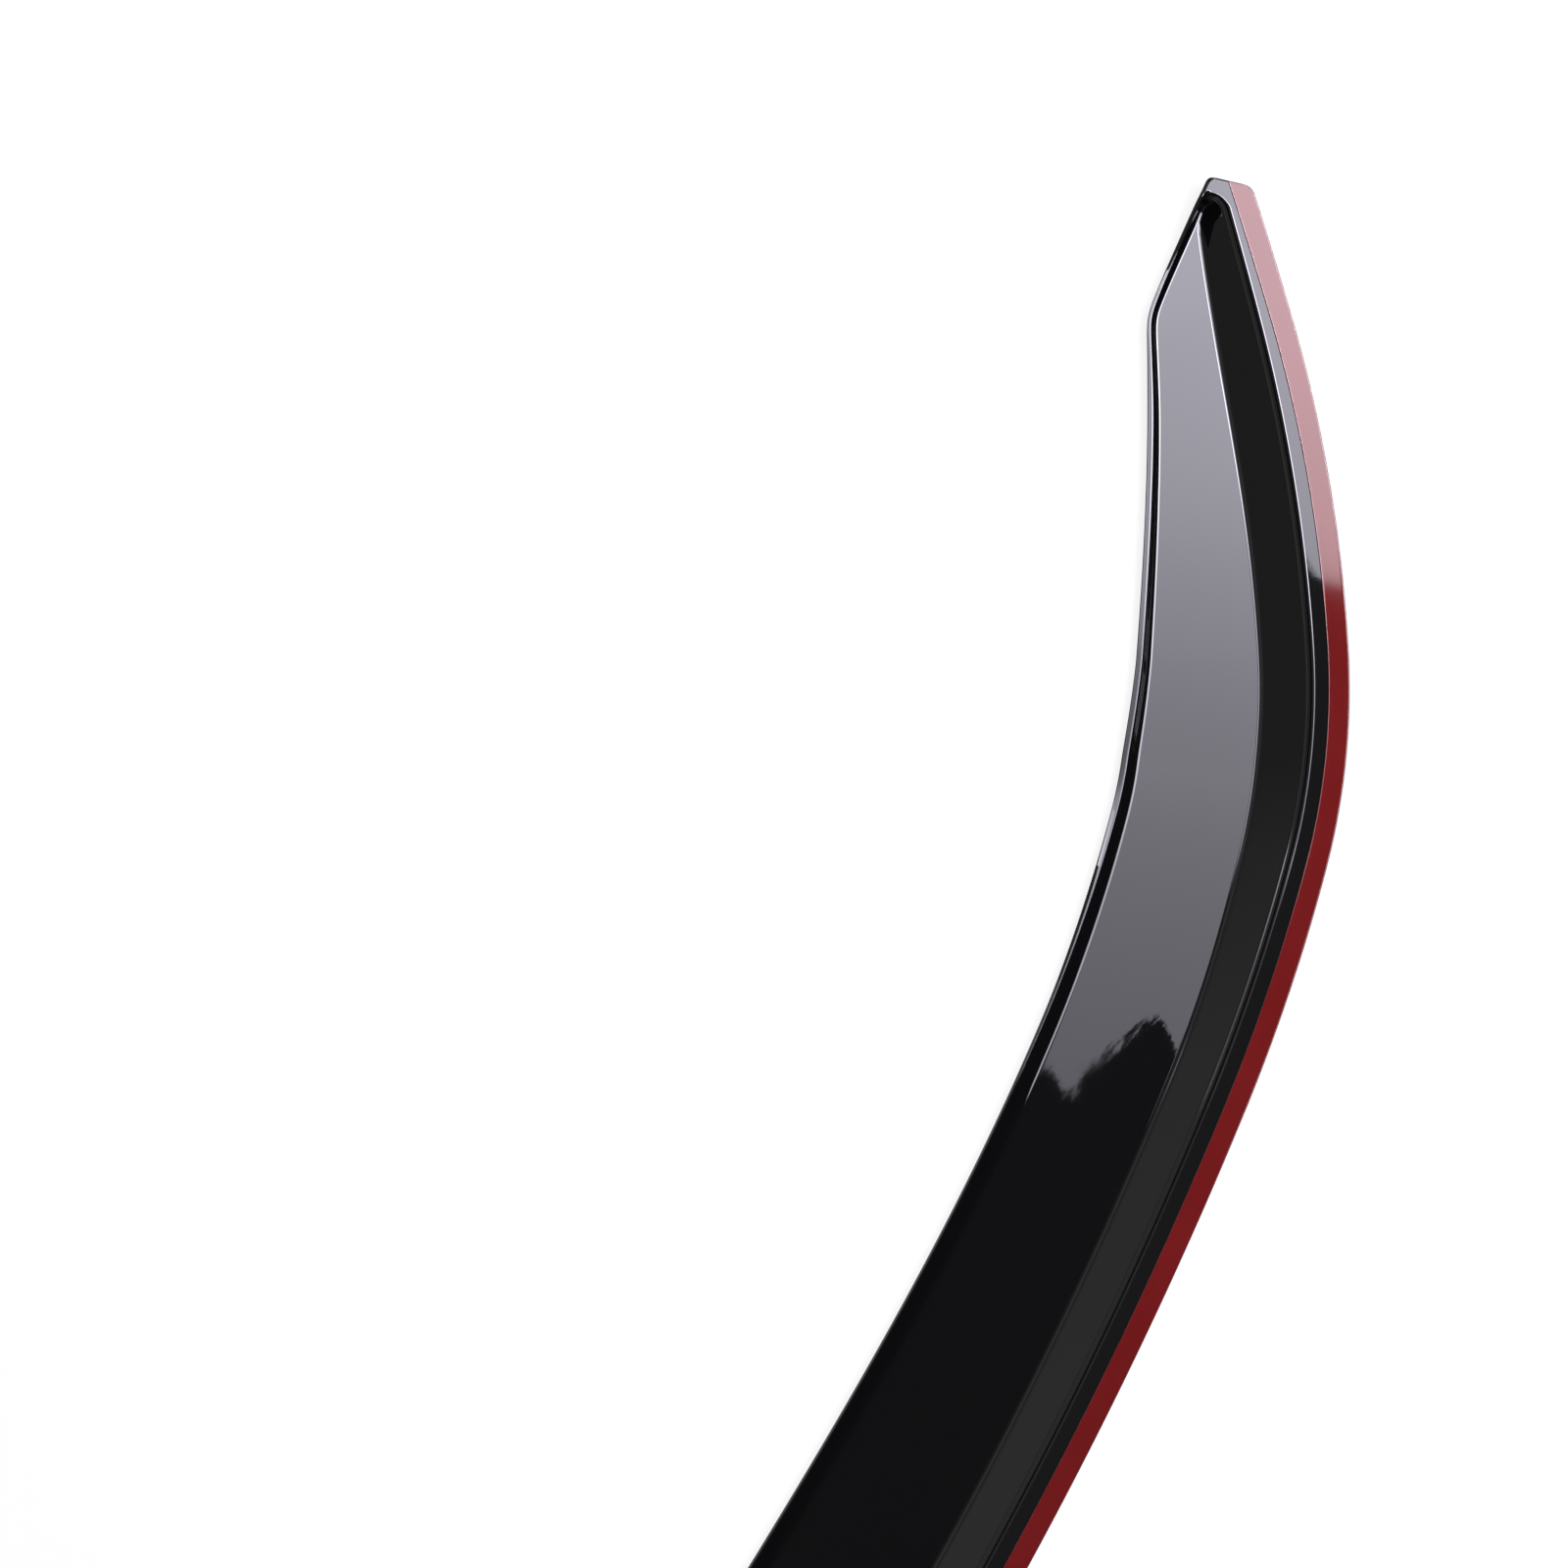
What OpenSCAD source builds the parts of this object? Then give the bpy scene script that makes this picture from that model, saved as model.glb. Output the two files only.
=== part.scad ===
// Window rain deflector for a rear side door, left-hand side of the car.
// One moulded strip with a turned-in lip, a run of foam tape and the tape's red liner.
// It lies with its inner side up: the adhesive face is the plane z = 0.
// The strip is laid out by stations along its fixing edge, which is a chain of arcs
// that starts at the pointed rear tip. At a station, u is the distance in from that edge.

/* [Fixing edge] */
// Length of the nearly straight run at the tip
tip_run = 42; // [30:1:60]
// Radius of the run at the tip
tip_radius = 1800; // [1200:50:3000]
// Length of the run that leads into the bend
entry_run = 112; // [80:1:140]
// Radius of the run that leads into the bend
entry_radius = 490; // [400:10:700]
// Length of the tightest part of the bend
bend_run = 72; // [50:1:90]
// Radius of the tightest part of the bend
bend_radius = 230; // [200:5:320]
// Length of the run that leads out of the bend
exit_run = 83; // [60:1:110]
// Radius of the run that leads out of the bend
exit_radius = 620; // [450:10:900]
// Length of the long front run
front_run = 384; // [300:2:450]
// Radius of the long front run
front_radius = 1500; // [1200:50:2500]

/* [Width] */
// Width that the free edge would have at the tip if the tip were not cut off
width_tip = 37.6; // [34:0.2:42]
// Full width behind the bend
width_bend = 72.6; // [66:0.2:80]
// Full width at the front end
width_front = 79.5; // [74:0.5:90]
// Distance from the tip at which the full width is reached
width_reach = 200; // [170:5:240]
// Power of the curve by which the width grows from the tip
width_ease = 1.6; // [1.3:0.1:2]
// Distance from the tip where the front starts to widen
widen_from = 290; // [280:5:360]
// Distance from the tip where the front has its full width
widen_to = 560; // [480:5:640]

/* [Tip] */
// Width of the end cut
tip_width = 15; // [13.5:0.1:17]
// Angle between the end cut and a square cut
tip_slant = 31; // [24:0.5:36]
// Angle between the slanting free edge and the fixing edge
tip_taper = 42; // [38:0.5:46]
// Length over which the stations turn from the end cut to square
tip_fan = 40; // [34:1:50]
// Radius of the fixing edge's corner at the end cut
fixing_corner = 2.6; // [1.6:0.1:3.4]
// Radius of the end cut's free corner and of the front end's fixing corner
tip_corner = 1.6; // [1:0.1:2.4]
// Softness of the corner between the slanting and the long free edge
free_corner = 3; // [1:0.5:6]
// Depth of the flange where it closes the tip
tip_rim = 4; // [3:0.1:5]
// Length of the arc that joins that rim to the flange
rim_arc = 4; // [3:0.1:6]
// Run of the step wall below the rim
rim_wall = 1.2; // [0.8:0.1:2]
// Length over which the trough falls to its depth below the rim
rim_slope = 4.5; // [3:0.1:7]
// Length over which the lip comes down from the rim to its own height
lip_join = 24; // [18:1:40]

/* [Front end] */
// Radius of the free corner at the front end
front_corner = 10; // [5:0.5:16]

/* [Section] */
// Thickness of the moulded sheet
sheet_t = 2.4; // [2:0.1:3]
// Flange width at the tip
flange_tip = 9; // [8.6:0.1:10.5]
// Flange width on the long run
flange_w = 12; // [11:0.1:14]
// Distance from the tip at which the flange has its long-run width
flange_reach = 140; // [100:5:180]
// Run of the step wall beside the flange
step_w = 1.1; // [0.8:0.1:1.6]
// Height of the step wall
step_drop = 1.8; // [1.2:0.1:2.4]
// Width of the ledge below the step
ledge_w = 1.2; // [0.8:0.1:1.8]
// Fall of the ledge across its width
ledge_drop = 0.25; // [0.1:0.05:0.5]
// Shoulder width at the tip
shoulder_tip = 5.4; // [4:0.1:8]
// Shoulder width in the bend
shoulder_bend = 13.5; // [12:0.1:16]
// Shoulder width on the front run
shoulder_front = 11.2; // [10:0.1:13]
// Distance from the tip at which the shoulder is widest
shoulder_reach = 110; // [90:5:130]
// Distance from the tip where the shoulder starts to narrow
shoulder_from = 180; // [150:5:200]
// Distance from the tip where it has its front width
shoulder_to = 300; // [260:5:340]
// Depth of the crease below the flange at the tip
depth_tip = 9; // [6:0.1:10]
// Depth of the crease below the flange on the long run
depth_main = 11.6; // [10:0.2:14]
// Distance from the tip at which the full depth is reached
depth_reach = 200; // [160:5:240]
// Power of the curve by which the depth grows from the tip
depth_ease = 1.5; // [1.2:0.1:2]
// Angle by which the blade comes back from the crease to the free edge
blade_tilt = 3; // [1:0.5:7]

/* [Lip] */
// Width of the lip's edge face at the tip
lip_edge_tip = 1.1; // [0.9:0.1:1.5]
// Width of the lip's edge face behind the tip
lip_edge_main = 2.4; // [1.8:0.1:3]
// Width of the lip's edge face on the front run
lip_edge_front = 0.9; // [0.7:0.1:1.4]
// Run of the lip's inner face at the tip
lip_face_tip = 0.9; // [0.8:0.1:1.4]
// Run of the lip's inner face on the front run
lip_face_front = 5.2; // [4:0.1:6]
// Height of the lip above the blade in the bend
lip_rise_main = 2.2; // [1.8:0.1:3]
// Height of the lip above the blade on the front run
lip_rise_front = 3.4; // [2.8:0.1:4.5]
// Fall of the edge face across its width at the tip
edge_fall_tip = 1.1; // [0.6:0.1:1.4]
// Fall of the edge face behind the tip
edge_fall_main = 0.15; // [0.1:0.05:0.4]
// Fall of the edge face on the front run
edge_fall_front = 1.6; // [1:0.1:2]

/* [Tape] */
// Width of the foam tape
tape_w = 6.8; // [5:0.1:7.4]
// Thickness of the foam tape
tape_t = 1.1; // [0.8:0.05:1.5]
// Distance from the flange's edge to the tape
tape_inset = 0.2; // [0.1:0.1:0.8]
// Distance from the end cut to the tape
tape_tip_gap = 0.3; // [0.2:0.1:2]
// Distance from the front end to the tape
tape_front_gap = 5; // [2:0.5:12]
// Thickness of the liner film
liner_t = 0.12; // [0.08:0.02:0.2]

/* [Rounding] */
// Reach of the rounding at the sheet's edges
edge_round = 0.6; // [0.3:0.05:0.7]
// Reach of the rounding between flange and step
flange_round = 0.5; // [0.3:0.05:1]
// Reach of the rounding at the crease
crease_round = 1.6; // [0.8:0.1:2.4]
// Reach of the rounding at the foot of the lip
lip_round = 1.1; // [0.5:0.05:1.2]

/* [Hidden] */

shell_colour = [0.05, 0.05, 0.055];
tape_colour = [0.16, 0.16, 0.17];
liner_colour = [0.46, 0.09, 0.11];

runs = [[tip_run, tip_radius], [entry_run, entry_radius], [bend_run, bend_radius],
        [exit_run, exit_radius], [front_run, front_radius]];
edge_length = tip_run + entry_run + bend_run + exit_run + front_run;
bend_end = edge_length - front_run;
flange_z = -liner_t - tape_t;
// Smallest distance between neighbouring corners of a section
least_gap = 0.25;
// Width kept for the step, ledge and shoulder where the flange closes the tip
closed_room = 1;
// Largest share of the trough's width that the shoulder takes
shoulder_share = 0.8;
// Share of the thickness that the crease's round gains at the sheet's back
back_share = 0.4;
// Largest share of a segment that the round at one of its ends takes
round_share = 0.45;
// Distance either side over which the free edge's slant is measured
lean_reach = 0.5;
// Station and shares at which the lip and the edge face change from one form to the next
lip_grow = [40, 350];
edge_grow = [10, 70];
edge_shrink = [200, 330];
fall_fade = [12, 28];
lip_power = 1.3;
// The slanting edge is left out of account beyond this station
taper_end = 90;
// Most that a slanting free edge widens the lip in a section
most_lean = 1.6;

function limit(x) = min(1, max(0, x));
function mix(a, b, k) = a + (b - a) * k;
// Goes from 0 at a to 1 at b with level ends
function ease(a, b, x) = let (k = limit((x - a) / (b - a))) k * k * (3 - 2 * k);
// Share that is left of a change that ends at distance reach
function fade(t, reach, power) = pow(max(0, 1 - t / reach), power);
function turn(a, b) = a[0] * b[1] - a[1] * b[0];

// Place and heading after running a length along an arc. The heading is measured from -Y.
function along(p, len, r) =
    let (h = p[2] - len / r * 180 / PI)
    [p[0] + r * (cos(h) - cos(p[2])), p[1] + r * (sin(h) - sin(p[2])), h];
function edge_at(t, p, i = 0) =
    i == len(runs) - 1 || t <= runs[i][0] ? along(p, t, runs[i][1])
    : edge_at(t - runs[i][0], along(p, runs[i][0], runs[i][1]), i + 1);

// The strip is turned so that the chord of its fixing edge runs along Y, tip at +Y
raw_end = edge_at(edge_length, [0, 0, 0]);
start_heading = -atan2(raw_end[0], -raw_end[1]);

function fan(t) = tip_slant * fade(t, tip_fan, 2);
function inward(t, p) = [-cos(p[2] - fan(t)), -sin(p[2] - fan(t))];
function raw_plan(t, u) =
    let (p = edge_at(t, [0, 0, start_heading]))
    [p[0], p[1]] + inward(t, p) * u;
// The origin lies in the middle of the tape's width, half-way along the fixing edge
plan_origin = raw_plan(edge_length / 2, tape_inset + tape_w / 2);
function plan(t, u) = raw_plan(t, u) - plan_origin;
// Lengthens a width where the station isn't square to the edge
function slanted(t, w) = w / cos(fan(t));

// How far a round corner of radius r has cut in at distance x from the end
function corner_cut(r, x) = x < r ? r - sqrt(r * r - (r - x) * (r - x)) : 0;

// Width up to the long free edge, up to the slanting one, and up to the two blended
function long_width(t) =
    mix(width_bend, width_tip, fade(t, width_reach, width_ease))
    + (width_front - width_bend) * ease(widen_from, widen_to, t);
taper_start = raw_plan(0, tip_width);
taper_way = [sin(start_heading - tip_taper), -cos(start_heading - tip_taper)];
function taper_width(t) =
    let (p = edge_at(t, [0, 0, start_heading]))
    turn(taper_start - [p[0], p[1]], taper_way) / turn(inward(t, p), taper_way);
function blended_width(t) =
    let (a = long_width(t), b = t < taper_end ? taper_width(t) : 2 * a)
    (a + b - sqrt((a - b) * (a - b) + free_corner * free_corner)) / 2;
function width_at(t) =
    blended_width(t) - corner_cut(tip_corner, t) - corner_cut(front_corner, edge_length - t);
function lean(t) =
    let (
        a = max(0, t - lean_reach),
        b = min(edge_length, t + lean_reach),
        s = (width_at(b) - width_at(a)) / (b - a)
    )
    min(most_lean, sqrt(1 + s * s));

// Sizes that change along the strip
function flange_at(t) = slanted(t, mix(flange_w, flange_tip, fade(t, flange_reach, 2)));
function shoulder_at(t) =
    mix(shoulder_bend, shoulder_tip, fade(t, shoulder_reach, 3))
    + (shoulder_front - shoulder_bend) * ease(shoulder_from, shoulder_to, t);
function depth_at(t) = mix(depth_main, depth_tip, fade(t, depth_reach, depth_ease));
function lip_face_at(t) =
    mix(lip_face_tip, lip_face_front, pow(limit((t - lip_grow[0]) / (lip_grow[1] - lip_grow[0])), lip_power));
function lip_edge_at(t) =
    mix(lip_edge_tip, lip_edge_main, ease(edge_grow[0], edge_grow[1], t))
    + (lip_edge_front - lip_edge_main) * ease(edge_shrink[0], edge_shrink[1], t);
function lip_rise_at(t) = mix(lip_rise_main, lip_rise_front, ease(edge_shrink[0], edge_shrink[1], t));
function edge_fall_at(t) =
    mix(edge_fall_tip, edge_fall_main, ease(fall_fade[0], fall_fade[1], t))
    + (edge_fall_front - edge_fall_main) * ease(edge_shrink[0], edge_shrink[1], t);
// 1 where the flange closes the whole width, 0 where the trough is open
function closed_at(t) = let (x = limit((t - tip_rim) / rim_arc)) 1 - sqrt(1 - (1 - x) * (1 - x));

// Corners of the upper side of a section, from the fixing edge to the free edge, as [u, z]
function upper_corners(t) =
    let (
        open = ease(tip_rim, tip_rim + rim_wall, t),
        deep = ease(tip_rim, tip_rim + rim_slope, t),
        joined = fade(max(0, t - tip_rim), lip_join, 2),
        start = corner_cut(fixing_corner, t) + corner_cut(tip_corner, edge_length - t),
        w = width_at(t),
        k = lean(t),
        u5 = w - lip_edge_at(t) * k,
        u4 = u5 - mix(least_gap, lip_face_at(t), open) * k,
        u1 = mix(flange_at(t), u4 - closed_room, closed_at(t)),
        u2 = u1 + min(step_w, (u4 - u1) / 4),
        u2b = u2 + min(ledge_w, (u4 - u2) / 3),
        u3 = u2b + min(shoulder_at(t), (u4 - u2b) * shoulder_share),
        z2 = flange_z - step_drop * open,
        z2b = z2 - ledge_drop * open,
        z3 = min(z2b, flange_z - depth_at(t) * deep),
        z4 = z3 + tan(blade_tilt) * (u4 - u3) * open,
        z5 = mix(z4 + lip_rise_at(t), flange_z, joined)
    )
    [[start, flange_z], [u1, flange_z], [u2, z2], [u2b, z2b], [u3, z3], [u4, z4], [u5, z5],
     [w, z5 - edge_fall_at(t)]];

// Corner b moved out of the sheet's back by its thickness, along the mitre of a-b and b-c
function mitred(a, b, c) =
    let (
        m = (b - a) / norm(b - a),
        n = (c - b) / norm(c - b),
        p = [m[1], -m[0]],
        q = [n[1], -n[0]]
    )
    b + sheet_t * (p + q) / (1 + p * q);

// Points of the round that replaces corner b between a and c
function rounded(a, b, c, reach, steps) =
    let (
        i = norm(a - b),
        j = norm(c - b),
        from = b + (a - b) / i * min(reach, round_share * i),
        to = b + (c - b) / j * min(reach, round_share * j)
    )
    [for (k = [0 : steps - 1]) let (s = k / (steps - 1))
        from * (1 - s) * (1 - s) + b * 2 * s * (1 - s) + to * s * s];

// A whole section: its corners with the reach and number of points of each round
function section_corners(t) =
    let (c = upper_corners(t))
    [
        [c[0], edge_round, 3],
        [c[1], flange_round, 4],
        [c[2], edge_round, 3],
        [c[3], edge_round, 3],
        [c[4], crease_round, 5],
        [c[5], lip_round, 4],
        [c[6], edge_round, 4],
        [c[7], edge_round, 3],
        [mitred(c[4], c[5], c[6]), lip_round, 4],
        [mitred(c[3], c[4], c[5]), crease_round + back_share * sheet_t, 5],
        [mitred(c[1], c[2], c[4]), edge_round, 2],
        [mitred(c[0], c[1], c[2]), edge_round, 2],
        [c[0] - [0, sheet_t], edge_round, 3]
    ];
function section(t) =
    let (c = section_corners(t), n = len(c))
    [for (i = [0 : n - 1]) each
        rounded(c[(i + n - 1) % n][0], c[i][0], c[(i + 1) % n][0], c[i][1], c[i][2])];

// Stations at even spacing from a up to b, without b
function span(a, b, n) = [for (i = [0 : n - 1]) a + (b - a) * i / n];
stations = concat(
    span(0, tip_corner, 5),
    span(tip_corner, tip_rim, 3),
    span(tip_rim, tip_rim + rim_wall, 4),
    span(tip_rim + rim_wall, tip_rim + rim_arc, 5),
    span(tip_rim + rim_arc, tip_fan / 2, 8),
    span(tip_fan / 2, tip_fan, 8),
    span(tip_fan, bend_end, 36),
    span(bend_end, edge_length - front_corner, 20),
    span(edge_length - front_corner, edge_length - tip_corner, 5),
    span(edge_length - tip_corner, edge_length, 3),
    [edge_length]
);

// Joins a list of closed rings with triangles and closes both ends
module loft(rings) {
    n = len(rings[0]);
    last = len(rings) - 1;
    points = [for (ring = rings) each ring];
    sides = [for (i = [0 : last - 1], j = [0 : n - 1])
        let (k = (j + 1) % n, a = i * n + j, b = i * n + k, c = a + n, d = b + n)
        each [[a, c, b], [b, c, d]]];
    first_end = [for (j = [0 : n - 1]) j];
    last_end = [for (j = [n - 1 : -1 : 0]) last * n + j];
    polyhedron(points, concat(sides, [first_end, last_end]));
}

// The moulded strip: flange, step, shoulder, blade and lip in one sheet
module deflector_shell() {
    color(shell_colour)
        loft([for (t = stations)
            [for (p = section(t)) let (q = plan(t, p[0])) [q[0], q[1], p[1]]]]);
}

// Outline of the tape, with the tip's round outer corner
tape_stations = concat(
    [tape_tip_gap],
    [for (t = stations) if (t > tape_tip_gap + least_gap && t < edge_length - tape_front_gap - least_gap) t],
    [edge_length - tape_front_gap]
);
function tape_edge(t) = slanted(t, tape_inset + corner_cut(fixing_corner, t - tape_tip_gap));
function tape_outline() = concat(
    [for (t = tape_stations) plan(t, tape_edge(t))],
    [for (i = [len(tape_stations) - 1 : -1 : 0]) let (t = tape_stations[i])
        plan(t, slanted(t, tape_inset + tape_w))]
);

module tape_layer(bottom, thickness) {
    translate([0, 0, bottom])
        linear_extrude(thickness)
            polygon(tape_outline());
}

// Double-sided foam tape on the flange
module foam_tape() {
    color(tape_colour) tape_layer(flange_z, tape_t);
}

// Peel-off liner on the tape
module release_liner() {
    color(liner_colour) tape_layer(-liner_t, liner_t);
}

deflector_shell();
foam_tape();
release_liner();
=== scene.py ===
import math

import bmesh
import bpy
from mathutils import Matrix, Vector


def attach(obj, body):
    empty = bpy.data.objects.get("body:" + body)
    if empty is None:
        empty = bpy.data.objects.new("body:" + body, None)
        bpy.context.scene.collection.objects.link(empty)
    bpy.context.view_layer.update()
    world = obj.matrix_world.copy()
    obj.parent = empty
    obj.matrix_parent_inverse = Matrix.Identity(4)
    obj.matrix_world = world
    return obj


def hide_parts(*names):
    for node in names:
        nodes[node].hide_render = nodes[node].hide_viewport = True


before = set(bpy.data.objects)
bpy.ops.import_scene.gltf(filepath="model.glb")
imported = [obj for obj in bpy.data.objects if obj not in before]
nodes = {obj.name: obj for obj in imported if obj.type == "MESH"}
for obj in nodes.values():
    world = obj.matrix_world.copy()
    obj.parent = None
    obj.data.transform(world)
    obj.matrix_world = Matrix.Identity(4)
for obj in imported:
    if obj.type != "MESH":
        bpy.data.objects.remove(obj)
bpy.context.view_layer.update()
print("frame loaded:", sorted(nodes))


# sizes, in millimetres, as in the part

fixingEdge = {
    "runs": [(42, 1800), (112, 490), (72, 230), (83, 620), (384, 1500)],  # length and radius of each arc
}
width = {
    "tip": 37.6, "bend": 72.6, "front": 79.5,
    "reach": 200, "ease": 1.6,
    "widenFrom": 290, "widenTo": 560,
}
tip = {
    "width": 15, "slant": 31, "taper": 42, "fan": 40, "corner": 1.6, "fixingCorner": 2.6, "freeCorner": 3,
    "rim": 4, "rimArc": 4, "rimWall": 1.2, "rimSlope": 4.5, "lipJoin": 24, "taperEnd": 90,
}
frontEnd = {"corner": 10}
sheet = {
    "thickness": 2.4,
    "flangeTip": 9, "flange": 12, "flangeReach": 140,
    "stepWidth": 1.1, "stepDrop": 1.8, "ledgeWidth": 1.2, "ledgeDrop": 0.25,
    "shoulderTip": 5.4, "shoulderBend": 13.5, "shoulderFront": 11.2,
    "shoulderReach": 110, "shoulderFrom": 180, "shoulderTo": 300, "shoulderShare": 0.8,
    "depthTip": 9, "depth": 11.6, "depthReach": 200, "depthEase": 1.5, "tilt": 3,
    "leastGap": 0.25, "closedRoom": 1, "leanReach": 0.5, "mostLean": 1.6,
}
lip = {
    "edgeTip": 1.1, "edge": 2.4, "edgeFront": 0.9, "edgeGrow": (10, 70), "shrink": (200, 330),
    "faceTip": 0.9, "faceFront": 5.2, "grow": (40, 350), "power": 1.3,
    "rise": 2.2, "riseFront": 3.4,
    "fallTip": 1.1, "fall": 0.15, "fallFront": 1.6, "fallFade": (12, 28),
}
rounds = {
    "edge": 0.6, "flange": 0.5, "crease": 1.6, "back": 0.4, "lip": 1.1, "end": 0.5, "endReach": 0.6,
    "share": 0.45,  # of the flat beside a corner, at most
    "steps": 9, "creaseSteps": 12,
    "flats": (4, 2, 2, 3, 7, 2, 2, 2, 7, 3, 2, 4, 2),  # spans along the flat after each corner
    "holdShare": 0.12, "holdReach": 0.25, "leastFlat": 0.01,
}
tape = {"width": 6.8, "thickness": 1.1, "inset": 0.2, "tipGap": 0.3, "frontGap": 5, "liner": 0.12}

edgeLength = sum(run[0] for run in fixingEdge["runs"])
flangeLevel = -tape["liner"] - tape["thickness"]


# the fixing edge and what is measured from it

def limit(x):
    return min(1.0, max(0.0, x))


def mix(a, b, k):
    return a + (b - a) * k


def ease(a, b, x):
    k = limit((x - a) / (b - a))
    return k * k * (3 - 2 * k)


def fade(t, reach, power):
    return max(0.0, 1 - t / reach) ** power


def along(place, length, radius):
    x, y, heading = place
    turned = heading - length / radius
    return (x + radius * (math.cos(turned) - math.cos(heading)),
            y + radius * (math.sin(turned) - math.sin(heading)), turned)


def edgeAt(t, heading):
    place = (0.0, 0.0, heading)
    runs = fixingEdge["runs"]
    for i, (length, radius) in enumerate(runs):
        if i == len(runs) - 1 or t <= length:
            return along(place, t, radius)
        place = along(place, length, radius)
        t -= length


farEnd = edgeAt(edgeLength, 0.0)
startHeading = -math.atan2(farEnd[0], -farEnd[1])  # turns the chord onto Y


def fan(t):
    return math.radians(tip["slant"]) * fade(t, tip["fan"], 2)


def inward(t, place):
    return Vector((-math.cos(place[2] - fan(t)), -math.sin(place[2] - fan(t))))


def rawPlan(t, u):
    place = edgeAt(t, startHeading)
    return Vector(place[:2]) + inward(t, place) * u


planOrigin = rawPlan(edgeLength / 2, tape["inset"] + tape["width"] / 2)


def planPoint(t, u):
    return rawPlan(t, u) - planOrigin


def cornerCut(radius, x):
    return radius - math.sqrt(radius * radius - (radius - x) ** 2) if x < radius else 0.0


taperStart = rawPlan(0, tip["width"])
taperWay = Vector((math.sin(startHeading - math.radians(tip["taper"])),
                   -math.cos(startHeading - math.radians(tip["taper"]))))


def widthAt(t):
    whole = (mix(width["bend"], width["tip"], fade(t, width["reach"], width["ease"]))
             + (width["front"] - width["bend"]) * ease(width["widenFrom"], width["widenTo"], t))
    slanting = 2 * whole
    if t < tip["taperEnd"]:
        place = edgeAt(t, startHeading)
        gap = taperStart - Vector(place[:2])
        slanting = gap.cross(taperWay) / inward(t, place).cross(taperWay)
    soft = tip["freeCorner"]
    blended = (whole + slanting - math.sqrt((whole - slanting) ** 2 + soft * soft)) / 2
    return blended - cornerCut(tip["corner"], t) - cornerCut(frontEnd["corner"], edgeLength - t)


def leanAt(t):
    # widths beside the free edge are stretched where it runs at a slant
    a = max(0.0, t - sheet["leanReach"])
    b = min(edgeLength, t + sheet["leanReach"])
    slope = (widthAt(b) - widthAt(a)) / (b - a)
    return min(sheet["mostLean"], math.sqrt(1 + slope * slope))


# the sheet's section

def upperCorners(t):
    opened = ease(tip["rim"], tip["rim"] + tip["rimWall"], t)
    deep = ease(tip["rim"], tip["rim"] + tip["rimSlope"], t)
    joined = fade(max(0.0, t - tip["rim"]), tip["lipJoin"], 2)
    x = limit((t - tip["rim"]) / tip["rimArc"])
    closed = 1 - math.sqrt(1 - (1 - x) ** 2)
    shrunk = ease(*lip["shrink"], t)
    k = leanAt(t)
    lipEdge = (mix(lip["edgeTip"], lip["edge"], ease(*lip["edgeGrow"], t))
               + (lip["edgeFront"] - lip["edge"]) * shrunk)
    grown = limit((t - lip["grow"][0]) / (lip["grow"][1] - lip["grow"][0])) ** lip["power"]
    lipFace = mix(lip["faceTip"], lip["faceFront"], grown)
    lipRise = mix(lip["rise"], lip["riseFront"], shrunk)
    edgeFall = (mix(lip["fallTip"], lip["fall"], ease(*lip["fallFade"], t))
                + (lip["fallFront"] - lip["fall"]) * shrunk)
    flange = mix(sheet["flange"], sheet["flangeTip"], fade(t, sheet["flangeReach"], 2)) / math.cos(fan(t))
    shoulder = (mix(sheet["shoulderBend"], sheet["shoulderTip"], fade(t, sheet["shoulderReach"], 3))
                + (sheet["shoulderFront"] - sheet["shoulderBend"])
                * ease(sheet["shoulderFrom"], sheet["shoulderTo"], t))
    depth = mix(sheet["depth"], sheet["depthTip"], fade(t, sheet["depthReach"], sheet["depthEase"]))
    start = cornerCut(tip["fixingCorner"], t) + cornerCut(tip["corner"], edgeLength - t)
    w = widthAt(t)
    u5 = w - lipEdge * k
    u4 = u5 - mix(sheet["leastGap"], lipFace, opened) * k
    u1 = mix(flange, u4 - sheet["closedRoom"], closed)
    u2 = u1 + min(sheet["stepWidth"], (u4 - u1) / 4)
    u2b = u2 + min(sheet["ledgeWidth"], (u4 - u2) / 3)
    u3 = u2b + min(shoulder, (u4 - u2b) * sheet["shoulderShare"])
    z2 = flangeLevel - sheet["stepDrop"] * opened
    z2b = z2 - sheet["ledgeDrop"] * opened
    z3 = min(z2b, flangeLevel - depth * deep)
    z4 = z3 + math.tan(math.radians(sheet["tilt"])) * (u4 - u3) * opened
    z5 = mix(z4 + lipRise, flangeLevel, joined)
    return [Vector(c) for c in ((start, flangeLevel), (u1, flangeLevel), (u2, z2), (u2b, z2b),
                                (u3, z3), (u4, z4), (u5, z5), (w, z5 - edgeFall))]


def mitred(a, b, c):
    m = (b - a).normalized()
    n = (c - b).normalized()
    p = Vector((m.y, -m.x))
    q = Vector((n.y, -n.x))
    return b + sheet["thickness"] * (p + q) / (1 + p.dot(q))


def rounded(a, b, c, reach, steps):
    i = (a - b).length
    j = (c - b).length
    start = b + (a - b) / i * min(reach, rounds["share"] * i)
    end = b + (c - b) / j * min(reach, rounds["share"] * j)
    points = []
    for n in range(steps):
        s = n / (steps - 1)
        points.append(start * (1 - s) ** 2 + b * 2 * s * (1 - s) + end * s * s)
    return points


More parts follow.
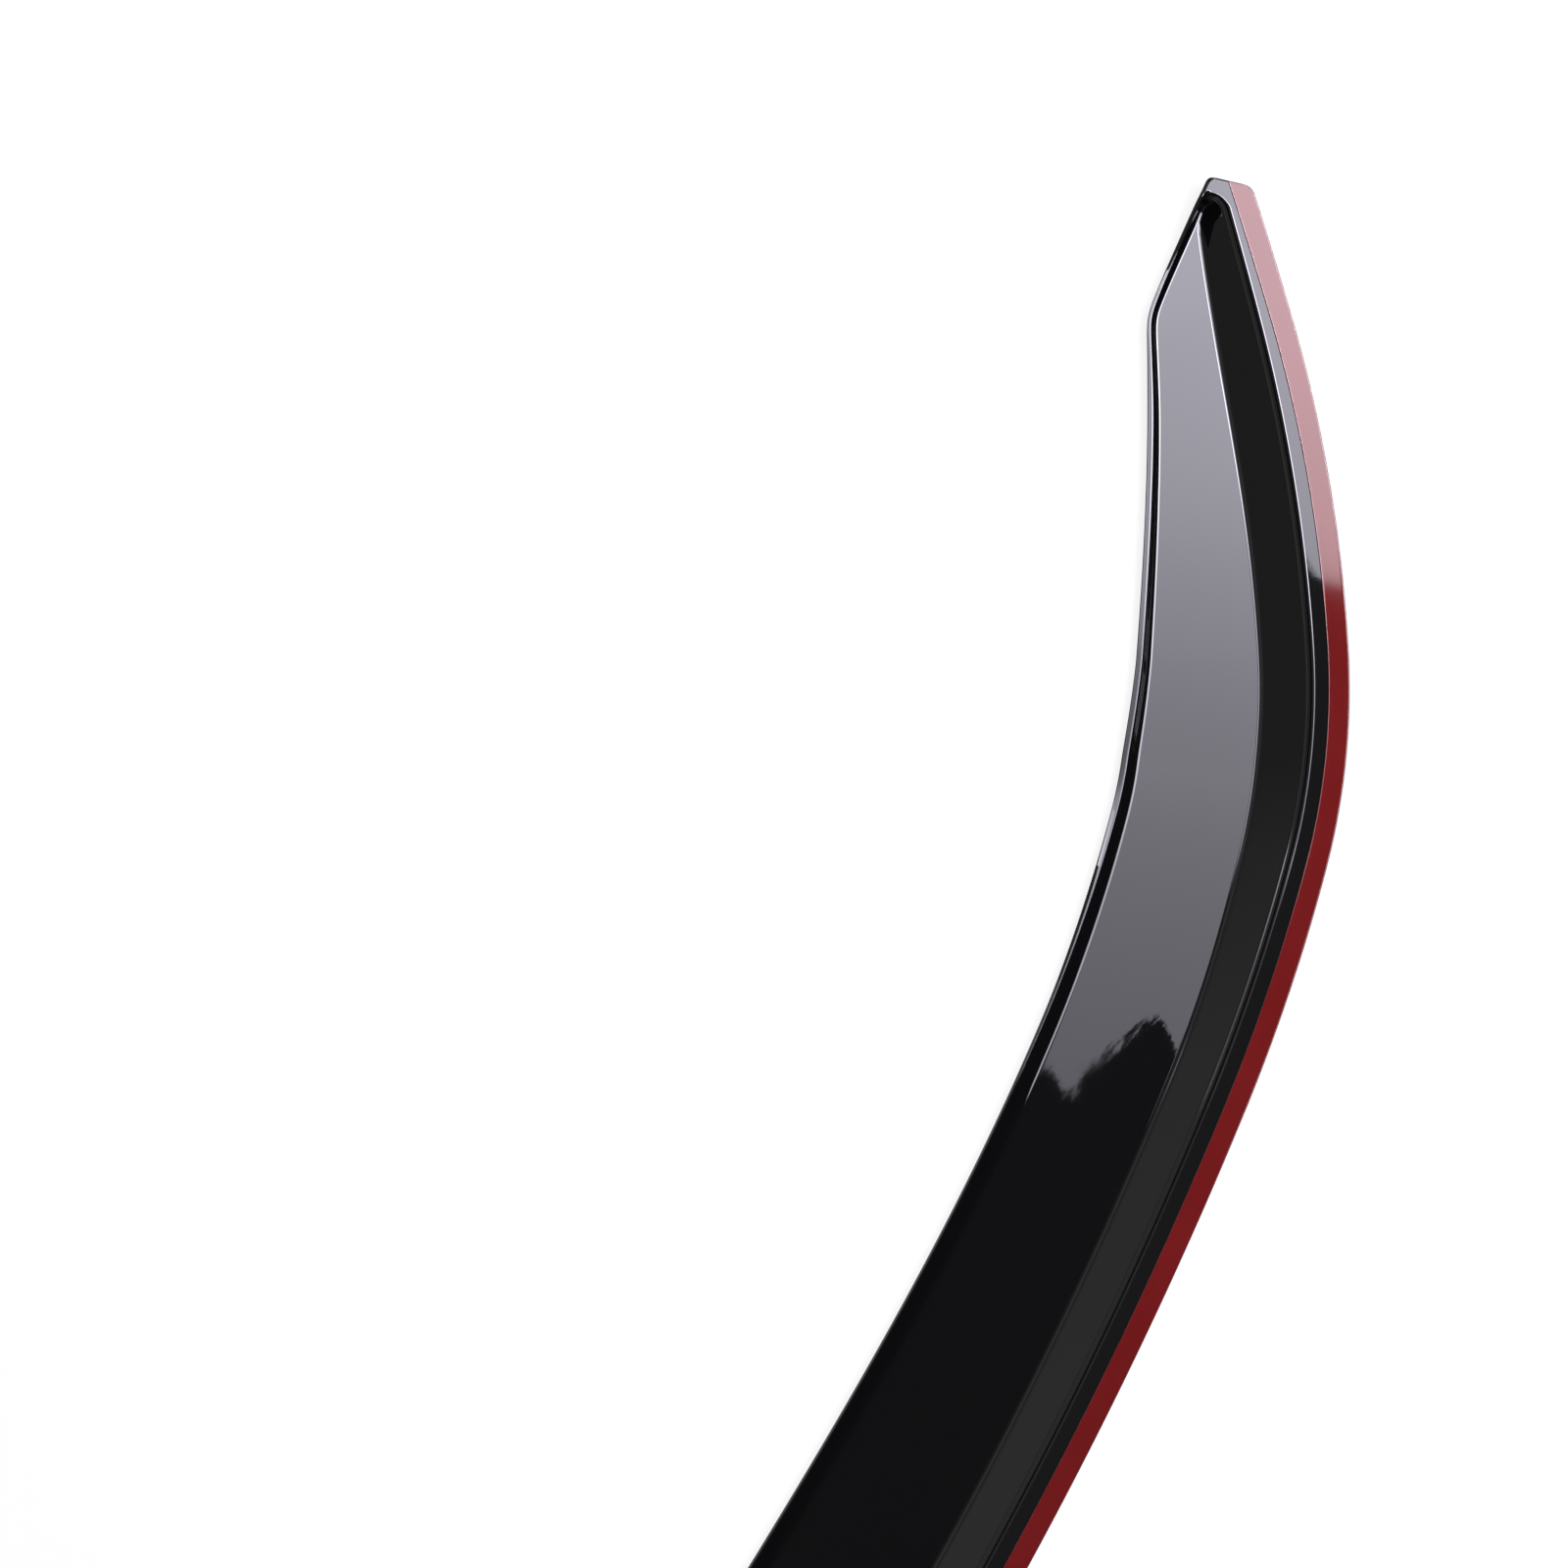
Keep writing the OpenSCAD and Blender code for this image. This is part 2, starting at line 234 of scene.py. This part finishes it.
def withHolds(corners, spacing):
    # rounds every corner, and sets points along the flats so that they shade flat
    arcs = []
    for i, (corner, reach, steps) in enumerate(corners):
        arcs.append(rounded(corners[i - 1][0], corner, corners[(i + 1) % len(corners)][0], reach, steps))
    ring = []
    for i, arc in enumerate(arcs):
        ring.extend(arc)
        a, b = arc[-1], arcs[(i + 1) % len(arcs)][0]
        spans = spacing[i]
        if spans > 1:
            hold = min(rounds["holdShare"], rounds["holdReach"] / max((b - a).length, rounds["leastFlat"]))
            ring.append(a.lerp(b, hold))
            ring.extend(a.lerp(b, n / spans) for n in range(1, spans))
            ring.append(b.lerp(a, hold))
    return ring


def shellRing(t):
    c = upperCorners(t)
    few, many, edge = rounds["steps"], rounds["creaseSteps"], rounds["edge"]
    corners = [
        (c[0], edge, few), (c[1], rounds["flange"], few), (c[2], edge, few), (c[3], edge, few),
        (c[4], rounds["crease"], many), (c[5], rounds["lip"], few), (c[6], edge, few), (c[7], edge, few),
        (mitred(c[4], c[5], c[6]), rounds["lip"], few),
        (mitred(c[3], c[4], c[5]), rounds["crease"] + rounds["back"] * sheet["thickness"], many),
        (mitred(c[1], c[2], c[4]), edge, few),
        (mitred(c[0], c[1], c[2]), edge, few),
        (c[0] - Vector((0, sheet["thickness"])), edge, few),
    ]
    return withHolds(corners, rounds["flats"])


def drawnIn(ring, amount):
    # the ring moved in towards its own middle line, for rounded ends
    if amount <= 0:
        return ring
    moved = []
    for i, p in enumerate(ring):
        way = (ring[(i + 1) % len(ring)] - ring[i - 1]).normalized()
        moved.append(p + Vector((way.y, -way.x)) * amount)
    return moved


# stations and lofting

def span(a, b, n):
    return [a + (b - a) * i / n for i in range(n)]


shieldSpans = (  # where each run of stations ends, and how many it holds
    (rounds["endReach"], 6), (tip["corner"], 4), (tip["rim"], 6), (tip["rim"] + tip["rimWall"], 8),
    (tip["rim"] + tip["rimArc"], 10), (20, 20), (tip["fan"], 22), (310, 110),
    (edgeLength - frontEnd["corner"], 70), (edgeLength - rounds["endReach"], 16), (edgeLength, 6),
)
shieldStations = []
spanStart = 0
for spanEnd, spanCount in shieldSpans:
    shieldStations += span(spanStart, spanEnd, spanCount)
    spanStart = spanEnd
shieldStations.append(edgeLength)


def inMetres(t, ring):
    return [Vector((*planPoint(t, p.x), p.y)) * 0.001 for p in ring]


def addObject(name, data):
    made = bpy.data.objects.new(name, data)
    bpy.context.scene.collection.objects.link(made)
    return made


def addMesh(name, mesh):
    data = bpy.data.meshes.new(name)
    mesh.to_mesh(data)
    mesh.free()
    return addObject(name, data)


def loft(name, rings):
    # the first ring's edges are extruded from station to station
    mesh = bmesh.new()
    loop = [mesh.verts.new(p) for p in rings[0]]
    edges = [mesh.edges.new((loop[i - 1], loop[i])) for i in range(len(loop))]
    bmesh.ops.contextual_create(mesh, geom=edges)
    for ring in rings[1:]:
        places = {v: i for i, v in enumerate(loop)}
        made = bmesh.ops.extrude_edge_only(mesh, edges=edges)["geom"]
        fresh = [None] * len(loop)
        for v in made:
            if isinstance(v, bmesh.types.BMVert):
                old = next(e.other_vert(v) for e in v.link_edges if e.other_vert(v) in places)
                v.co = ring[places[old]]
                fresh[places[old]] = v
        edges = [e for e in made if isinstance(e, bmesh.types.BMEdge)]
        loop = fresh
    bmesh.ops.contextual_create(mesh, geom=edges)
    bmesh.ops.recalc_face_normals(mesh, faces=mesh.faces[:])
    for face in mesh.faces:
        face.smooth = len(face.verts) == 4
    return addMesh(name, mesh)


# shader nodes

def newMaterial(name):
    material = bpy.data.materials.new(name)
    material.use_nodes = True
    tree = material.node_tree
    tree.nodes.clear()
    return material, tree


def node(tree, kind, **settings):
    made = tree.nodes.new(kind)
    for key, value in settings.items():
        setattr(made, key, value)
    return made


def wire(tree, a, b):
    tree.links.new(a, b)


def setInputs(made, values):
    for key, value in values.items():
        made.inputs[key].default_value = value


def sums(tree, operation, a, b):
    made = node(tree, "ShaderNodeMath", operation=operation)
    for socket, value in ((made.inputs[0], a), (made.inputs[1], b)):
        if isinstance(value, (int, float)):
            socket.default_value = value
        else:
            wire(tree, value, socket)
    return made.outputs[0]


def mapped(tree, source, fromEnds, toEnds=(0, 1), kind="LINEAR"):
    made = node(tree, "ShaderNodeMapRange", interpolation_type=kind)
    setInputs(made, {"From Min": fromEnds[0], "From Max": fromEnds[1],
                     "To Min": toEnds[0], "To Max": toEnds[1]})
    wire(tree, source, made.inputs["Value"])
    return made.outputs["Result"]


def noise(tree, place, scale, detail, roughness=0.5):
    made = node(tree, "ShaderNodeTexNoise")
    setInputs(made, {"Scale": scale, "Detail": detail, "Roughness": roughness})
    wire(tree, place, made.inputs["Vector"])
    return made.outputs["Fac"]


def bump(tree, height, distance, strength=1):
    made = node(tree, "ShaderNodeBump")
    setInputs(made, {"Strength": strength, "Distance": distance})
    wire(tree, height, made.inputs["Height"])
    return made


def ramp(tree, source, low, high):
    # low and high are a position and a colour each
    made = node(tree, "ShaderNodeValToRGB")
    for element, (position, colour) in zip(made.color_ramp.elements, (low, high)):
        element.position = position
        element.color = colour
    wire(tree, source, made.inputs["Fac"])
    return made.outputs["Color"]


def curve(tree, points, source, unit=0.001):
    # a value that follows the points as the source goes from the first to the last
    low, high = points[0][0], points[-1][0]
    most = max(value for _, value in points)
    bent = node(tree, "ShaderNodeFloatCurve")
    line = bent.mapping.curves[0]
    line.points[0].location = (0, points[0][1] / most)
    line.points[1].location = (1, points[-1][1] / most)
    for place, value in points[1:-1]:
        line.points.new((place - low) / (high - low), value / most)
    for point in line.points:
        point.handle_type = "AUTO_CLAMPED"
    bent.mapping.update()
    wire(tree, mapped(tree, source, (low * unit, high * unit)), bent.inputs["Value"])
    return sums(tree, "MULTIPLY", bent.outputs["Value"], most)


def added(tree, a, b):
    both = node(tree, "ShaderNodeAddShader")
    wire(tree, a.outputs[0], both.inputs[0])
    wire(tree, b.outputs[0], both.inputs[1])
    return both


def rayIs(tree, *kinds):
    # 1 for a ray of any of these kinds
    path = node(tree, "ShaderNodeLightPath")
    found = path.outputs[kinds[0]]
    for kind in kinds[1:]:
        found = sums(tree, "MAXIMUM", found, path.outputs[kind])
    return found


def coated(name, values):
    # one principled shader, and the place that its patterns are laid out from
    material, tree = newMaterial(name)
    out = node(tree, "ShaderNodeOutputMaterial")
    shader = node(tree, "ShaderNodeBsdfPrincipled")
    setInputs(shader, values)
    wire(tree, shader.outputs["BSDF"], out.inputs["Surface"])
    place = node(tree, "ShaderNodeTexCoord").outputs["Object"]
    return material, tree, shader, place


# materials; each noise is given by its scale, detail and roughness

polishedBlack = {
    "colour": (0.0032, 0.0032, 0.0036, 1), "ior": 1.49,
    "smudge": (9.0, 5, 0.6), "smudgeRange": (0.35, 0.75), "roughness": (0.008, 0.022),
    "wave": (22.0, 1), "waveHeight": 0.00001,
    "peel": (420.0, 2), "peelHeight": 0.0000006,
}


def blackMaterial():
    v = polishedBlack
    material, tree, shader, place = coated("polishedBlackAcrylic", {
        "Base Color": v["colour"], "IOR": v["ior"]})
    rough = mapped(tree, noise(tree, place, *v["smudge"]), v["smudgeRange"], v["roughness"])
    wave = bump(tree, noise(tree, place, *v["wave"]), v["waveHeight"])
    peel = bump(tree, noise(tree, place, *v["peel"]), v["peelHeight"])
    wire(tree, rough, shader.inputs["Roughness"])
    wire(tree, wave.outputs["Normal"], peel.inputs["Normal"])
    wire(tree, peel.outputs["Normal"], shader.inputs["Normal"])
    return material


# the foam's two tones carry painted shade: the darker colour goes down in the cell pits, the lighter one on
# the cell walls
softFoam = {
    "colour": (0.03, 0.03, 0.032, 1), "light": (0.075, 0.075, 0.08, 1), "roughness": 0.85, "ior": 1.45,
    "cell": 2600.0, "depth": 0.00005, "strength": 0.8,
}


def foamMaterial():
    v = softFoam
    material, tree, shader, place = coated("closedCellFoam", {"Roughness": v["roughness"], "IOR": v["ior"]})
    cells = node(tree, "ShaderNodeTexVoronoi")
    setInputs(cells, {"Scale": v["cell"]})
    wire(tree, place, cells.inputs["Vector"])
    pits = bump(tree, cells.outputs["Distance"], v["depth"], v["strength"])
    # painted shade: the tone follows the cell height, darker in the pits and lighter on the walls
    tone = ramp(tree, cells.outputs["Distance"], (0, v["colour"]), (1, v["light"]))
    wire(tree, tone, shader.inputs["Base Color"])
    wire(tree, pits.outputs["Normal"], shader.inputs["Normal"])
    return material


redFilm = {
    "colour": (0.148, 0.0040, 0.0045, 1), "pale": (0.168, 0.0065, 0.0080, 1), "paleRange": (0.3, 0.7),
    "roughness": 0.035, "ior": 1.515, "tint": (1, 0.9, 0.86, 1),
    "cloud": (30.0, 4), "wrinkle": (60.0, 2), "wrinkleHeight": 0.000005,
}


def linerMaterial():
    v = redFilm
    material, tree, shader, place = coated("redReleaseFilm", {
        "Roughness": v["roughness"], "IOR": v["ior"], "Specular Tint": v["tint"]})
    low, high = v["paleRange"]
    tone = ramp(tree, noise(tree, place, *v["cloud"]), (low, v["colour"]), (high, v["pale"]))
    lift = bump(tree, noise(tree, place, *v["wrinkle"]), v["wrinkleHeight"])
    wire(tree, tone, shader.inputs["Base Color"])
    wire(tree, lift.outputs["Normal"], shader.inputs["Normal"])
    return material


# the moulded shield

def buildShield():
    rings = []
    for t in shieldStations:
        ring = drawnIn(shellRing(t), cornerCut(rounds["end"], min(t, edgeLength - t)))
        rings.append(inMetres(t, ring))
    piece = loft("mouldedShield", rings)
    piece.data.materials.append(blackMaterial())
    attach(piece, "root")
    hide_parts("deflector_shell")
    print("shield:", len(piece.data.polygons), "faces")
    return piece


# foam tape and liner

def tapeStations():
    reach = 0.3  # of the closer stations at both ends
    first, last = tape["tipGap"], edgeLength - tape["frontGap"]
    inner = [t for t in shieldStations if first + reach < t < last - reach]
    return span(first, first + reach, 4) + inner + span(last - reach, last, 3) + [last]


def tapeSides(t):
    square = 1 / math.cos(fan(t))
    near = (tape["inset"] + cornerCut(tip["fixingCorner"], t - tape["tipGap"])) * square
    return near, (tape["inset"] + tape["width"]) * square


foam = {"bulge": 0.06, "bulgeRound": 0.3, "edgeRound": 0.15, "steps": 4, "flats": (3, 1, 1, 3, 1, 1)}


def buildFoam():
    v = foam
    low, high = flangeLevel, flangeLevel + tape["thickness"]
    middle = (low + high) / 2
    edge, side = (v["edgeRound"], v["steps"]), (v["bulgeRound"], v["steps"])
    rings = []
    for t in tapeStations():
        a, b = tapeSides(t)
        corners = [(Vector((a, high)), *edge), (Vector((b, high)), *edge),
                   (Vector((b + v["bulge"], middle)), *side),
                   (Vector((b, low)), *edge), (Vector((a, low)), *edge),
                   (Vector((a - v["bulge"], middle)), *side)]
        rings.append(inMetres(t, withHolds(corners, v["flats"])))
    piece = loft("foamStrip", rings)
    piece.data.materials.append(foamMaterial())
    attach(piece, "root")
    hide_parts("foam_tape")
    print("foam:", len(piece.data.polygons), "faces")
    return piece


film = {
    "sunk": 0.004, "sunkFrom": 0.55, "crest": 0.12,  # the middle lies lower than the crest along each side
    "sideUp": 0.03, "under": 0.05,
    "sharp": (0.02, 3), "crestRound": (0.2, 6), "sunkRound": (0.3, 6),  # reach and steps of each round
    "flats": (1, 1, 6, 1, 1, 1, 3, 1),
}


def buildLiner():
    v = film
    low, middle, side = -tape["liner"], -v["sunk"], v["sideUp"] - tape["liner"]
    rings = []
    for t in tapeStations():
        a, b = tapeSides(t)
        corners = [(Vector((a, side)), *v["sharp"]), (Vector((a + v["crest"], 0)), *v["crestRound"]),
                   (Vector((a + v["sunkFrom"], middle)), *v["sunkRound"]),
                   (Vector((b - v["sunkFrom"], middle)), *v["sunkRound"]),
                   (Vector((b - v["crest"], 0)), *v["crestRound"]), (Vector((b, side)), *v["sharp"]),
                   (Vector((b - v["under"], low)), *v["sharp"]), (Vector((a + v["under"], low)), *v["sharp"])]
        rings.append(inMetres(t, withHolds(corners, v["flats"])))
    piece = loft("linerFilm", rings)
    piece.data.materials.append(linerMaterial())
    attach(piece, "root")
    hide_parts("release_liner")
    print("liner:", len(piece.data.polygons), "faces")
    return piece


shield = buildShield()
buildFoam()
buildLiner()


# camera

view = {
    "frame": 1600, "scale": 3.14,  # pixels of the frame for each millimetre at the flange
    "tipPixel": (1277.9, 190.0),
    "tipHeading": 17.7,  # degrees from straight down
    "distance": 3000, "sensor": 36, "clip": (0.05, 50),
}
roll = startHeading - math.radians(view["tipHeading"])
turned = Matrix.Rotation(roll, 2)
frameMiddle = view["frame"] / 2
viewCentre = turned @ Vector(((frameMiddle - view["tipPixel"][0]) / view["scale"],
                              (view["tipPixel"][1] - frameMiddle) / view["scale"])) - planOrigin


def fromView(x, y, z):
    # millimetres right and up from the middle of the picture, and above the flange
    flat = viewCentre + turned @ Vector((x, y))
    return Vector((flat.x, flat.y, flangeLevel + z)) * 0.001


def placeCamera():
    data = bpy.data.cameras.new("studioCamera")
    data.sensor_width = view["sensor"]
    data.lens = view["sensor"] * view["distance"] * view["scale"] / view["frame"]
    data.clip_start, data.clip_end = view["clip"]
    camera = addObject("studioCamera", data)
    camera.location = fromView(0, 0, view["distance"])
    camera.rotation_euler = (0, 0, roll)
    bpy.context.scene.camera = camera
    print("camera: lens", round(data.lens, 1))


placeCamera()


# floor and world

floor = {"size": 8.0, "drop": 0.00015, "colour": (0.2, 0.2, 0.2, 1), "shine": 0.84}  # lengths in metres


def buildFloor(lowest):
    mesh = bmesh.new()
    bmesh.ops.create_grid(mesh, x_segments=1, y_segments=1, size=floor["size"] / 2,
                          matrix=Matrix.Translation((0, 0, lowest - floor["drop"])))
    piece = addMesh("studioFloor", mesh)
    material, tree = newMaterial("paleFloor")
    out = node(tree, "ShaderNodeOutputMaterial")
    paper = node(tree, "ShaderNodeBsdfDiffuse")
    setInputs(paper, {"Color": floor["colour"]})
    glow = node(tree, "ShaderNodeEmission")
    seen = rayIs(tree, "Is Camera Ray", "Is Glossy Ray", "Is Transmission Ray")
    wire(tree, sums(tree, "MULTIPLY", seen, floor["shine"]), glow.inputs["Strength"])
    wire(tree, added(tree, paper, glow).outputs[0], out.inputs["Surface"])
    piece.data.materials.append(material)


room = {  # brightness of the surroundings, from the left of the picture to the right
    "across": ((-1.0, 0.28), (-0.8, 0.27), (-0.6, 0.35), (-0.42, 0.75), (-0.25, 0.5), (-0.1, 0.25),
               (0.05, 0.2), (0.1, 0.09), (0.25, 0.09), (0.5, 0.03), (1.0, 0.03)),
    "farLeft": 0.42, "farLeftUp": (0.1, 0.45), "farLeftAcross": (-0.6, -0.8),
}


def buildWorld():
    world = bpy.data.worlds.new("studioWorld")
    bpy.context.scene.world = world
    world.use_nodes = True
    tree = world.node_tree
    tree.nodes.clear()
    out = node(tree, "ShaderNodeOutputWorld")
    place = node(tree, "ShaderNodeTexCoord")
    turn = node(tree, "ShaderNodeVectorRotate", rotation_type="Z_AXIS")
    setInputs(turn, {"Angle": -roll})
    split = node(tree, "ShaderNodeSeparateXYZ")
    wire(tree, place.outputs["Generated"], turn.inputs["Vector"])
    wire(tree, turn.outputs[0], split.inputs[0])
    x, y = split.outputs["X"], split.outputs["Y"]
    corner = sums(tree, "MULTIPLY", mapped(tree, y, room["farLeftUp"], (0, room["farLeft"])),
                  mapped(tree, x, room["farLeftAcross"]))
    dim = node(tree, "ShaderNodeBackground")
    bright = node(tree, "ShaderNodeBackground")
    setInputs(bright, {"Color": (1, 1, 1, 1), "Strength": 1})
    choose = node(tree, "ShaderNodeMixShader")
    wire(tree, sums(tree, "ADD", curve(tree, room["across"], x, 1), corner), dim.inputs["Strength"])
    wire(tree, rayIs(tree, "Is Camera Ray", "Is Transmission Ray"), choose.inputs["Fac"])
    wire(tree, dim.outputs[0], choose.inputs[1])
    wire(tree, bright.outputs[0], choose.inputs[2])
    wire(tree, choose.outputs[0], out.inputs["Surface"])


# lamp cards, in millimetres right and up from the middle of the picture

softbox = {
    "height": 1600, "apart": 2, "colour": (0.985, 0.955, 1.09, 1),
    "right": (150, 1000), "up": (-600, 650), "soft": 3, "edgeSoft": 6, "lift": 600,
    "leftEdge": ((-600, 282), (-120, 284), (-70, 302), (66, 302), (88, 300), (103, 262), (120, 252),
                 (160, 228), (330, 165), (650, 120)),
    "bottom": ((150, -190), (280, -206), (292, -213), (298, -222), (306, -214), (320, -200), (336, -185),
               (346, -178), (351, -180), (357, -199), (365, -186), (376, -176), (430, -230), (522, -320),
               (1000, -540)),
    "fadeUp": ((-600, 2.2), (-300, 2.6), (-165, 3.2), (-91, 3.8), (0, 5.0), (68, 6.4), (132, 8.2),
               (197, 9.4), (254, 10.4), (650, 12)),
    "fadeRight": ((150, 0.9), (285, 0.97), (425, 1.05), (455, 1.9), (1000, 1.9)),
    "streak": 34, "streakSize": (1.1, 18), "streakTurn": -0.62, "streakNoise": (1, 3),
}
edgeStrip = {
    "right": (-240, 260), "up": (-200, 600), "soft": 35, "edgeSoft": 6, "lift": 300,
    "level": 2.2, "farLevel": 0.48, "far": 10, "farSoft": 40,
    "rightEdge": ((-200, 165), (-144, 190), (-58, 222), (33, 240), (110, 240), (160, 224), (258, 188),
                  (330, 160), (600, 118)),
    "lowest": ((-240, 75), (0, 0), (200, -55), (260, -70)),
    "gain": ((-200, 0.5), (-20, 0.6), (30, 0.75), (60, 1.0), (95, 1.75), (600, 1.9)),
}
sideLight = {
    "right": (-800, -238), "up": (0, 700), "level": 1.3, "soft": 40,
    "lowest": ((-800, 240), (-573, 160), (-400, 110), (-238, 65)),
}
footLight = {
    "right": (455, 1000), "up": (-600, 650), "level": 1.6, "soft": 12, "lift": 600,
    "bottom": ((455, -255), (522, -320), (1000, -540)),
}


def cardAt(name, x, y, height):
    # a flat card facing down, with its own X to the right of the picture and Y up
    mesh = bmesh.new()
    bmesh.ops.create_grid(mesh, x_segments=1, y_segments=1, size=0.5)
    bmesh.ops.scale(mesh, vec=((x[1] - x[0]) * 0.001, (y[1] - y[0]) * 0.001, 1), verts=mesh.verts[:])
    bmesh.ops.translate(mesh, vec=((x[0] + x[1]) * 0.0005, (y[0] + y[1]) * 0.0005, 0), verts=mesh.verts[:])
    bmesh.ops.reverse_faces(mesh, faces=mesh.faces[:])
    card = addMesh(name, mesh)
    card.location = fromView(0, 0, height)
    card.rotation_euler = (0, 0, roll)
    card.visible_camera = False
    card.visible_shadow = False
    return card


def lineAt(tree, points, source, lift=0):
    # a line's place in metres, lifted while it is drawn because a curve ends at nought
    lifted = [(place, value + lift) for place, value in points]
    line = sums(tree, "MULTIPLY", curve(tree, lifted, source), 0.001)
    return sums(tree, "SUBTRACT", line, lift * 0.001) if lift else line


def stepped(tree, far, near, reach):
    # rises from 0 to 1 over the reach, as far goes past near
    return mapped(tree, sums(tree, "SUBTRACT", far, near), (0, reach * 0.001), kind="SMOOTHSTEP")


def glowing(card, name, makeLevel):
    material, tree = newMaterial(name)
    out = node(tree, "ShaderNodeOutputMaterial")
    glow = node(tree, "ShaderNodeEmission")
    setInputs(glow, {"Color": softbox["colour"]})
    place = node(tree, "ShaderNodeTexCoord").outputs["Object"]
    split = node(tree, "ShaderNodeSeparateXYZ")
    wire(tree, place, split.inputs[0])
    wire(tree, makeLevel(tree, place, split.outputs["X"], split.outputs["Y"]), glow.inputs["Strength"])
    clear = node(tree, "ShaderNodeBsdfTransparent")  # where a card is dark, what lies behind it shows
    wire(tree, added(tree, glow, clear).outputs[0], out.inputs["Surface"])
    card.data.materials.append(material)


def softboxLevel(tree, place, x, y):
    v = softbox
    streaks = node(tree, "ShaderNodeMapping", vector_type="TEXTURE")  # turned first, then stretched
    setInputs(streaks, {"Rotation": (0, 0, v["streakTurn"]),
                        "Scale": (v["streakSize"][0] * 0.001, v["streakSize"][1] * 0.001, 1)})
    wire(tree, place, streaks.inputs["Vector"])
    uneven = sums(tree, "SUBTRACT", noise(tree, streaks.outputs[0], *v["streakNoise"]), 0.5)
    ragged = sums(tree, "ADD", y, sums(tree, "MULTIPLY", uneven, v["streak"] * 0.001))
    above = stepped(tree, ragged, lineAt(tree, v["bottom"], x, v["lift"]), v["soft"])
    within = stepped(tree, x, lineAt(tree, v["leftEdge"], y), v["edgeSoft"])
    level = sums(tree, "MULTIPLY", curve(tree, v["fadeUp"], y), curve(tree, v["fadeRight"], x))
    return sums(tree, "MULTIPLY", level, sums(tree, "MULTIPLY", above, within))


def stripLevel(tree, place, x, y):
    v = edgeStrip
    above = stepped(tree, y, lineAt(tree, v["lowest"], x, v["lift"]), v["soft"])
    within = stepped(tree, lineAt(tree, v["rightEdge"], y), x, v["edgeSoft"])
    near = stepped(tree, x, v["far"] * 0.001, v["farSoft"])
    share = sums(tree, "ADD", sums(tree, "MULTIPLY", near, v["level"] - v["farLevel"]), v["farLevel"])
    share = sums(tree, "MULTIPLY", share, curve(tree, v["gain"], y))
    level = sums(tree, "MULTIPLY", curve(tree, softbox["fadeUp"], y), share)
    return sums(tree, "MULTIPLY", level, sums(tree, "MULTIPLY", above, within))


def sideLevel(tree, place, x, y):
    v = sideLight
    above = stepped(tree, y, lineAt(tree, v["lowest"], x), v["soft"])
    level = sums(tree, "MULTIPLY", above, v["level"])
    return sums(tree, "MULTIPLY", curve(tree, softbox["fadeUp"], y), level)


def footLevel(tree, place, x, y):
    # brightens the round where the blade meets the lip
    v = footLight
    above = stepped(tree, y, lineAt(tree, v["bottom"], x, v["lift"]), v["soft"])
    level = sums(tree, "MULTIPLY", above, v["level"])
    return sums(tree, "MULTIPLY", curve(tree, softbox["fadeUp"], y), level)


def buildLamps():
    lamps = (("softbox", softbox, softboxLevel), ("strip", edgeStrip, stripLevel),
             ("side", sideLight, sideLevel), ("foot", footLight, footLevel))
    for i, (name, values, makeLevel) in enumerate(lamps):
        height = softbox["height"] + i * softbox["apart"]
        card = cardAt(name + "Card", values["right"], values["up"], height)
        glowing(card, name + "Glow", makeLevel)
        card.visible_diffuse = values is softbox  # the others only draw lines on the polished edges


buildFloor(min(v.co.z for v in shield.data.vertices))
buildWorld()
buildLamps()
print("studio ready")

bpy.context.scene.view_settings.view_transform = "Standard"
